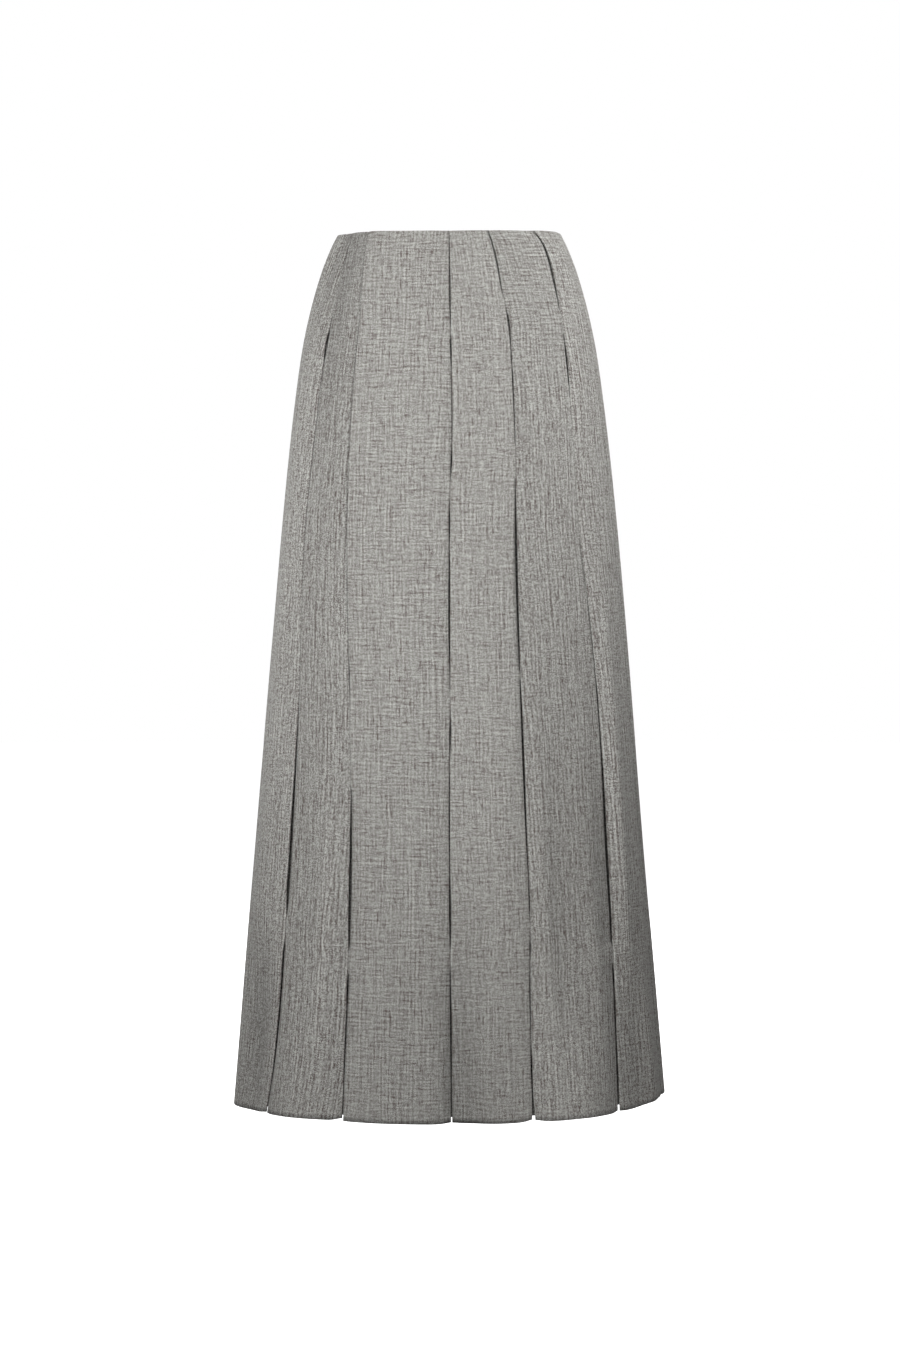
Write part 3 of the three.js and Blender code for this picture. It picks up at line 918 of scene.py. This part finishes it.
class SKIRT_OT_fit_zip(bpy.types.Operator):
    """Makes the zip's tapes and coils, and rounds the edges of its slider and pull."""

    bl_idname = "skirt.fit_zip"
    bl_label = "Fit zip"

    def execute(self, context):
        cloth, zip_fastener = context.scene.skirt_cloth, context.scene.skirt_zip
        tape_material = tape_finish(zip_fastener)
        line = next(line for line in LINES if line.name == "centre_back")
        wall, tape_wall = cloth.wall / MM, zip_fastener.tape_wall / MM
        drops = drops_between(ZIP_TOP, ZIP_TOP + ZIP_LENGTH, TAPE_ROWS * cloth.row_step / MM)
        behind = 2 * wall + line.layer("air", drops) + 2 * cloth.layer_gap / MM
        thin = rim_thinning(drops, tape_wall)
        for name, side in (("zip_tape_right", -1), ("zip_tape_left", 1)):
            edge = line.slit(drops) / 2 + TAPE_SETBACK
            away = side * (edge + np.linspace(0, ZIP_TAPE_WIDTH, TAPE_COLUMNS))
            angles = 180 + np.sort(away, axis=1) / pace(drops, line.angle(drops))
            outer = place(drops, angles, behind + thin)
            inner = place(drops, angles, behind + tape_wall - thin)
            mesh = shell_mesh(name, outer, inner)
            piece = add_piece(f"{name}_woven", mesh, tape_material, "skirt", [name])
            self.add_coil(name.replace("tape", "coil"), side, line, behind[0, 0] + tape_wall, zip_fastener)
        metal = metal_finish(zip_fastener)
        for node, body, width in METAL_PIECES:
            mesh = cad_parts[node].data.copy()
            mesh.materials.clear()
            piece = add_piece(f"{node}_metal", mesh, metal, body, [node])
            bevel = piece.modifiers.new("rounded_edges", "BEVEL")
            bevel.width = width
            bevel.segments = METAL_EDGE_STEPS
            bevel.limit_method = "ANGLE"
            bevel.angle_limit = METAL_EDGE
        return {"FINISHED"}

    def add_coil(self, name, side, line, behind, zip_fastener):
        """The coil of one tape: a thread wound beside the tape's edge, from below the slider."""
        length = ZIP_LENGTH - COIL_TOP - COIL_FOOT
        turns = int(length / (zip_fastener.coil_pitch / MM))
        t = np.linspace(0, turns * 2 * math.pi, turns * COIL_TURN_POINTS)
        drop = ZIP_TOP + COIL_TOP + length * t / t[-1]
        middle = side * (COIL_REACH * COIL_MIDDLE)
        away = middle + COIL_REACH * np.cos(t + (math.pi if side > 0 else 0))
        depth = behind + COIL_THREAD + COIL_CLEAR + COIL_DEPTH * (1 + np.sin(t))
        angle = 180 + away / pace(drop, line.angle(drop))
        path = place(drop[:, None], angle[:, None], depth[:, None])[:, 0]
        mesh = tube_mesh(name, path, COIL_THREAD * MM, COIL_SIDES)
        node = name.replace("coil", "tape")
        add_piece(f"{name}_thread", mesh, tape_finish(zip_fastener), "skirt", [node])


# ---- Finishes ----


class Shade:
    """One output of a node. Python's arithmetic on it adds Math nodes."""

    def __init__(self, tree, socket):
        self.tree = tree
        self.socket = socket

    def add(self, kind, settings=None, inputs=None, output=0):
        """A new node with its settings, then its sockets' values or links. Returns one output."""
        node = self.tree.nodes.new(kind)
        for name, value in (settings or {}).items():
            if name == "stops":
                set_stops(node.color_ramp, value)
            else:
                setattr(node, name, value)
        for name, value in (inputs or {}).items():
            if isinstance(value, Shade):
                self.tree.links.new(value.socket, node.inputs[name])
            else:
                node.inputs[name].default_value = value
        return Shade(self.tree, node.outputs[output])

    def maths(self, operation, *values):
        """A Math node that works on the values."""
        return self.add("ShaderNodeMath", {"operation": operation}, dict(enumerate(values)))

    def feed(self, socket):
        """Links this output to a socket of the shader."""
        self.tree.links.new(self.socket, socket)

    def __add__(self, other):
        return self.maths("ADD", self, other)

    def __radd__(self, other):
        return self.maths("ADD", other, self)

    def __sub__(self, other):
        return self.maths("SUBTRACT", self, other)

    def __rsub__(self, other):
        return self.maths("SUBTRACT", other, self)

    def __mul__(self, other):
        return self.maths("MULTIPLY", self, other)

    def __rmul__(self, other):
        return self.maths("MULTIPLY", other, self)

    def __truediv__(self, other):
        return self.maths("DIVIDE", self, other)

    def __rtruediv__(self, other):
        return self.maths("DIVIDE", other, self)

    def vector(self, x, y, z):
        return self.add("ShaderNodeCombineXYZ", inputs={"X": x, "Y": y, "Z": z})

    def part(self, index):
        return self.add("ShaderNodeSeparateXYZ", inputs={"Vector": self}, output=index)

    def noise(self, x, y, z, detail=0.0):
        """Soft noise about 0, from about -0.5 to 0.5, over a place in cells."""
        settings = {"noise_dimensions": "3D"}
        inputs = {"Vector": self.vector(x, y, z), "Scale": 1.0, "Detail": detail}
        return self.add("ShaderNodeTexNoise", settings, inputs) - 0.5

    def thread_noise(self, thread, along, seed):
        """Noise along each thread. The thread two past it evens it out."""
        own = self.noise(thread * THREAD_SPACING, along, seed)
        evened = self.noise((thread + 2) * THREAD_SPACING, along, seed)
        return own - evened * EVENED

    def slubs(self, across, along, seed):
        """Short thick stretches of dark thread, and 0 between them."""
        thread = self.maths("FLOOR", across / SLUB_WIDTH)
        over = self.noise(thread * THREAD_SPACING, along / SLUB_LENGTH, seed) - SLUB_FROM
        return self.maths("MAXIMUM", over, 0.0)

    def white_noise(self, x, y, z):
        """A value about 0 for each whole place, from -0.5 to 0.5."""
        settings = {"noise_dimensions": "3D"}
        return self.add("ShaderNodeTexWhiteNoise", settings, {"Vector": self.vector(x, y, z)}) - 0.5


def tones_of(colour, shares):
    """Stops from the darkest to the lightest share of a colour."""
    return [(i, tuple(np.array(colour) * share)) for i, share in enumerate(shares)]


def set_stops(ramp, stops):
    """Gives a colour ramp its stops, as (position, colour)."""
    while len(ramp.elements) < len(stops):
        ramp.elements.new(1)
    for element, (position, colour) in zip(ramp.elements, stops):
        element.position = position
        element.color = (*colour, 1)


def new_finish(name):
    """A new material, its shader's sockets, and a Shade to build its nodes on."""
    material = bpy.data.materials.new(name)
    material.use_nodes = True
    tree = material.node_tree
    return material, tree.nodes["Principled BSDF"].inputs, Shade(tree, None)


THREAD_PITCH = 1.05  # millimetres from thread to thread, both ways
THREAD_SPACING = 5.37  # in noise cells, far enough that threads differ
SEED_SPACING = 13.7  # the same for pieces
EVENED = 0.7  # how far a thread is evened out by the one two past it

# How the threads bend: the size of the bends across and down the cloth and how far they go, in
# millimetres, and where their noise starts.
LENGTHWISE_BENDS = (55, 55, 2.3, 0)
CROSSWISE_BENDS = (70, 40, 2.6, 5)

# How a thread's tone changes along it: the length of a stretch in millimetres, its strength, and
# where its noise starts.
LENGTHWISE_STRETCHES = ((14, 0.85, 1), (70, 1.15, 2))
CROSSWISE_STRETCHES = ((11, 1, 4), (26, 1, 6))
THREAD_BELOW = 0.7  # how strongly a thread shows where it passes below the other
THREAD_ABOVE = 1.3

SLUB_WIDTH = 1.2
SLUB_LENGTH = 11
SLUB_FROM = 0.13  # the noise above which a thread thickens into a slub
LENGTHWISE_SLUBS_START = 9  # where their noise starts
CROSSWISE_SLUBS_START = 11

# Faint clouds of tone.
CLOUD_WIDTH = 30
CLOUD_LENGTH = 40
CLOUD_STRENGTH = 0.01
CLOUDS_START = 8

# How strongly each part of the weave shows: where only crosswise threads show, and how much more
# where only lengthwise ones do.
LENGTHWISE_SHOWS = (0.3, 0.85)
CROSSWISE_SHOWS = (1.32, -1.14)
CROSSINGS_SHOW = (0.5, 0.9)
LENGTHWISE_SLUBS_SHOW = (0.5, 0.9)
CROSSWISE_SLUBS_SHOW = (1.45, -1.3)

GROUND_TONE = 0.52  # where the ground's tone lies between the darkest thread's and the lightest's
WEAVE_ROUGHNESS = 0.08
WEAVE_HEIGHT = 0.5
THREAD_HEIGHT = 0.1
CLOTH_GLOSS = {"Sheen Weight": 0.04, "Sheen Roughness": 0.55, "Specular IOR Level": 0.25}
CLOTH_BUMP = {"Strength": 0.55, "Distance": 0.00022}


def set_values(sockets, values):
    for name, value in values.items():
        sockets[name].default_value = value


def cloth_finish(cloth):
    """Slubbed grey melange cloth: dark and light threads both ways over a mid-grey ground."""
    made = bpy.data.materials.get("slubbed_grey_cloth")
    if made:
        return made
    material, shader, start = new_finish("slubbed_grey_cloth")
    place_in_cloth = start.add("ShaderNodeAttribute", {"attribute_name": "cloth_place"}, output="Vector")
    hand = start.add("ShaderNodeAttribute", {"attribute_name": "cloth_hand"}, output="Vector")
    x, y, piece = (place_in_cloth.part(i) for i in range(3))
    # The tone carries the gores' painted highlight and painted shade.
    tone, lengthwise, bold = (hand.part(i) for i in range(3))
    seed = piece * SEED_SPACING

    def bent(at, size_across, size_down, reach, offset):
        return at + start.noise(x / size_across, y / size_down, seed + offset) * reach

    def shows(base, gain):
        return lengthwise * gain + base

    def stretched(thread, along, stretches):
        parts = [
            start.thread_noise(thread, along / length, seed + offset) * strength
            for length, strength, offset in stretches
        ]
        return sum(parts[1:], parts[0])

    across = bent(x, *LENGTHWISE_BENDS)
    down = bent(y, *CROSSWISE_BENDS)
    warp_at = start.maths("FLOOR", across / THREAD_PITCH)
    weft_at = start.maths("FLOOR", down / THREAD_PITCH)
    warp_above = start.maths("FLOORED_MODULO", warp_at + weft_at, 2.0)
    above = THREAD_ABOVE - THREAD_BELOW
    warp = stretched(warp_at, down, LENGTHWISE_STRETCHES) * shows(*LENGTHWISE_SHOWS)
    weft = stretched(weft_at, across, CROSSWISE_STRETCHES) * shows(*CROSSWISE_SHOWS)
    crossings = start.white_noise(warp_at, weft_at, seed) * shows(*CROSSINGS_SHOW)
    warp = warp * (warp_above * above + THREAD_BELOW)
    weft = weft * (THREAD_ABOVE - warp_above * above)
    weave = warp + weft + crossings
    lengthwise_slubs = start.slubs(across, down, seed + LENGTHWISE_SLUBS_START)
    crosswise_slubs = start.slubs(down, across, seed + CROSSWISE_SLUBS_START)
    slubs = lengthwise_slubs * shows(*LENGTHWISE_SLUBS_SHOW)
    slubs = slubs + crosswise_slubs * shows(*CROSSWISE_SLUBS_SHOW)
    clouds = start.noise(across / CLOUD_WIDTH, down / CLOUD_LENGTH, seed + CLOUDS_START, detail=1.0)
    blend = GROUND_TONE + weave * bold * cloth.contrast + clouds * CLOUD_STRENGTH - slubs * cloth.slubs
    stops = [
        (0.0, tuple(cloth.dark_thread)),
        (0.5, tuple(cloth.ground)),
        (1.0, tuple(cloth.light_thread)),
    ]
    thread = start.add("ShaderNodeValToRGB", {"stops": stops}, {"Fac": blend})
    grey = start.vector(tone, tone, tone)
    settings = {"data_type": "RGBA", "blend_type": "MULTIPLY"}
    start.add("ShaderNodeMix", settings, {0: 1.0, 6: thread, 7: grey}, output=2).feed(shader["Base Color"])
    (cloth.roughness + weave * WEAVE_ROUGHNESS).feed(shader["Roughness"])
    set_values(shader, CLOTH_GLOSS)

    round_way = math.pi / THREAD_PITCH
    warp_round = start.maths("SINE", across * round_way)
    weft_round = start.maths("SINE", down * round_way)
    height = weave * WEAVE_HEIGHT + warp_round * weft_round * THREAD_HEIGHT
    start.add("ShaderNodeBump", inputs={**CLOTH_BUMP, "Height": height}).feed(shader["Normal"])
    return material


TAPE_RIB_ACROSS = 2.2  # turns of the herringbone for each millimetre across the tape
TAPE_RIB_DOWN = 1.6  # the same down it
TAPE_SPECKS = 1.5  # specks for each millimetre
TAPE_SHOWS = (0.25, 0.4)  # how strongly the herringbone and the specks show
TAPE_TONES = (0.6, 1.35)  # the darkest and the lightest share of its colour
TAPE_BUMP = {"Strength": 0.5, "Distance": 0.0001}


def tape_finish(zip_fastener):
    """Fine herringbone tape."""
    made = bpy.data.materials.get("woven_zip_tape")
    if made:
        return made
    material, shader, start = new_finish("woven_zip_tape")
    where = start.add("ShaderNodeTexCoord", output="Object")
    x, z = where.part(0) / MM, where.part(2) / MM
    slant = start.maths("PINGPONG", x * TAPE_RIB_ACROSS, 1.0) + z * TAPE_RIB_DOWN
    rib = start.maths("SINE", slant * (2 * math.pi))
    speck = start.noise(x * TAPE_SPECKS, z * TAPE_SPECKS, 0.0)
    blend = {"Fac": 0.5 + rib * TAPE_SHOWS[0] + speck * TAPE_SHOWS[1]}
    stops = tones_of(zip_fastener.tape_colour, TAPE_TONES)
    start.add("ShaderNodeValToRGB", {"stops": stops}, blend).feed(shader["Base Color"])
    set_values(shader, {"Roughness": 0.85})
    start.add("ShaderNodeBump", inputs={**TAPE_BUMP, "Height": rib}).feed(shader["Normal"])
    return material


METAL_MOTTLE = 0.8  # millimetres
METAL_MOTTLE_SHOWS = 0.2  # how far it changes the gloss
METAL_TONES = (0.75, 1.15)
METAL_BUMP = {"Strength": 0.2, "Distance": 0.00005}


def metal_finish(zip_fastener):
    """Grey enamel over cast metal, with a slightly uneven gloss."""
    material, shader, start = new_finish("enamelled_zip_metal")
    where = start.add("ShaderNodeTexCoord", output="Object")
    x, y, z = (where.part(i) / MM / METAL_MOTTLE for i in range(3))
    mottle = start.noise(x, y, z, detail=2.0)
    stops = tones_of(zip_fastener.metal_colour, METAL_TONES)
    start.add("ShaderNodeValToRGB", {"stops": stops}, {"Fac": 0.5 + mottle}).feed(shader["Base Color"])
    (0.5 + mottle * METAL_MOTTLE_SHOWS).feed(shader["Roughness"])
    set_values(shader, {"Specular IOR Level": 0.4})
    start.add("ShaderNodeBump", inputs={**METAL_BUMP, "Height": mottle}).feed(shader["Normal"])
    return material


# ---- Stage ----

CAMERA_PLACE = (0.001, -4.4, -0.265)
FLOOR_RADIUS = 9.0
FLOOR_COLOUR = (0.88, 0.88, 0.88)
FLOOR_GLOW = 0.92
WALL_RADIUS = 8.9

# Each soft light's place, what it aims at, its size and the spread of its beam in degrees.
SOFT_LIGHTS = {
    "key": ((-0.43, -1.5, 0.06), (0, 0, -0.3), 0.72, 90),
    "top": ((-0.44, -1.22, 1.9), (0, 0, -0.5), 1.17, 90),
    "left": ((2.31, 0.2, 0.27), (0, 0, 0.12), 0.96, 34),
    "right": ((-1.15, 0.8, -0.35), (0, 0, -0.3), 0.56, 45),
    "back": ((0, 3.1, 1.1), (0, 0, -0.4), 1.3, 180),
}


def glowing_finish(name, colour, glow):
    """A matt finish with a glow of its own."""
    material, shader, _ = new_finish(name)
    set_values(shader, {
        "Base Color": (*colour, 1),
        "Roughness": 1,
        "Specular IOR Level": 0,
        "Emission Color": (1, 1, 1, 1),
        "Emission Strength": glow,
    })
    return material


def add_soft_light(name, place_at, aim, size, spread, power):
    light = bpy.data.lights.new(name, "AREA")
    light.shape = "DISK"
    light.size = size
    light.energy = power
    light.spread = math.radians(spread)
    lamp = bpy.data.objects.new(name, light)
    bpy.context.scene.collection.objects.link(lamp)
    lamp.location = place_at
    lamp.rotation_euler = (Vector(aim) - Vector(place_at)).to_track_quat("-Z", "Y").to_euler()


class SKIRT_OT_set_studio(bpy.types.Operator):
    """Sets a pale floor, a pale surround, soft lights and the camera."""

    bl_idname = "skirt.set_studio"
    bl_label = "Set studio"

    def execute(self, context):
        studio = context.scene.skirt_studio
        floor_z = CAD_BOX[0].z - studio.floor_below_hem
        bpy.ops.mesh.primitive_circle_add(vertices=96, radius=FLOOR_RADIUS, fill_type="NGON",
                                          location=(0, 0, floor_z))
        floor = context.object
        floor.name = "studio_floor"
        floor.data.materials.append(glowing_finish("pale_floor", FLOOR_COLOUR, FLOOR_GLOW))
        bpy.ops.mesh.primitive_uv_sphere_add(segments=64, ring_count=32, radius=WALL_RADIUS)
        surround = context.object
        surround.name = "studio_surround"
        surround.data.materials.append(glowing_finish("pale_surround", (0, 0, 0), 1.0))
        surround.visible_diffuse = False
        surround.visible_glossy = False
        surround.visible_shadow = False
        floor.visible_diffuse = False

        world = bpy.data.worlds.new("studio_air")
        context.scene.world = world
        world.use_nodes = True
        background = world.node_tree.nodes["Background"]
        set_values(background.inputs, {"Color": (1, 1, 1, 1), "Strength": studio.air})

        for name, light in SOFT_LIGHTS.items():
            add_soft_light(f"{name}_light", *light, getattr(studio, f"{name}_power"))

        context.scene.view_settings.view_transform = "Standard"
        camera_data = bpy.data.cameras.new("camera")
        camera_data.lens = studio.lens
        camera_data.clip_end = 50
        camera = bpy.data.objects.new("camera", camera_data)
        context.scene.collection.objects.link(camera)
        camera.location = CAMERA_PLACE
        camera.rotation_euler = (math.pi / 2 - studio.pitch, 0, 0)
        context.scene.camera = camera
        return {"FINISHED"}


class SKIRT_PT_panel(bpy.types.Panel):
    """Lists the skirt's steps and settings in the sidebar."""

    bl_label = "Pleated skirt"
    bl_idname = "SKIRT_PT_panel"
    bl_space_type = "VIEW_3D"
    bl_region_type = "UI"
    bl_category = "Skirt"

    def draw(self, context):
        for operator in STEPS:
            self.layout.operator(operator.bl_idname)
        for group in SETTINGS:
            settings = getattr(context.scene, group)
            for name in settings.bl_rna.properties.keys():
                if name not in ("rna_type", "name"):
                    self.layout.prop(settings, name)


SETTINGS = {
    "skirt_cloth": Skirt_ClothSettings,
    "skirt_zip": Skirt_ZipSettings,
    "skirt_studio": Skirt_StudioSettings,
}
STEPS = (SKIRT_OT_sew_gores, SKIRT_OT_sew_underlays, SKIRT_OT_fit_zip, SKIRT_OT_set_studio)
CLASSES = (*SETTINGS.values(), *STEPS, SKIRT_PT_panel)


def register():
    for cls in CLASSES:
        bpy.utils.register_class(cls)
    for name, group in SETTINGS.items():
        setattr(bpy.types.Scene, name, bpy.props.PointerProperty(type=group))


def unregister():
    for name in SETTINGS:
        delattr(bpy.types.Scene, name)
    for cls in reversed(CLASSES):
        bpy.utils.unregister_class(cls)


def main():
    register()
    bpy.ops.skirt.sew_gores()
    bpy.ops.skirt.sew_underlays()
    bpy.ops.skirt.fit_zip()
    bpy.ops.skirt.set_studio()


if __name__ == "__main__":
    main()
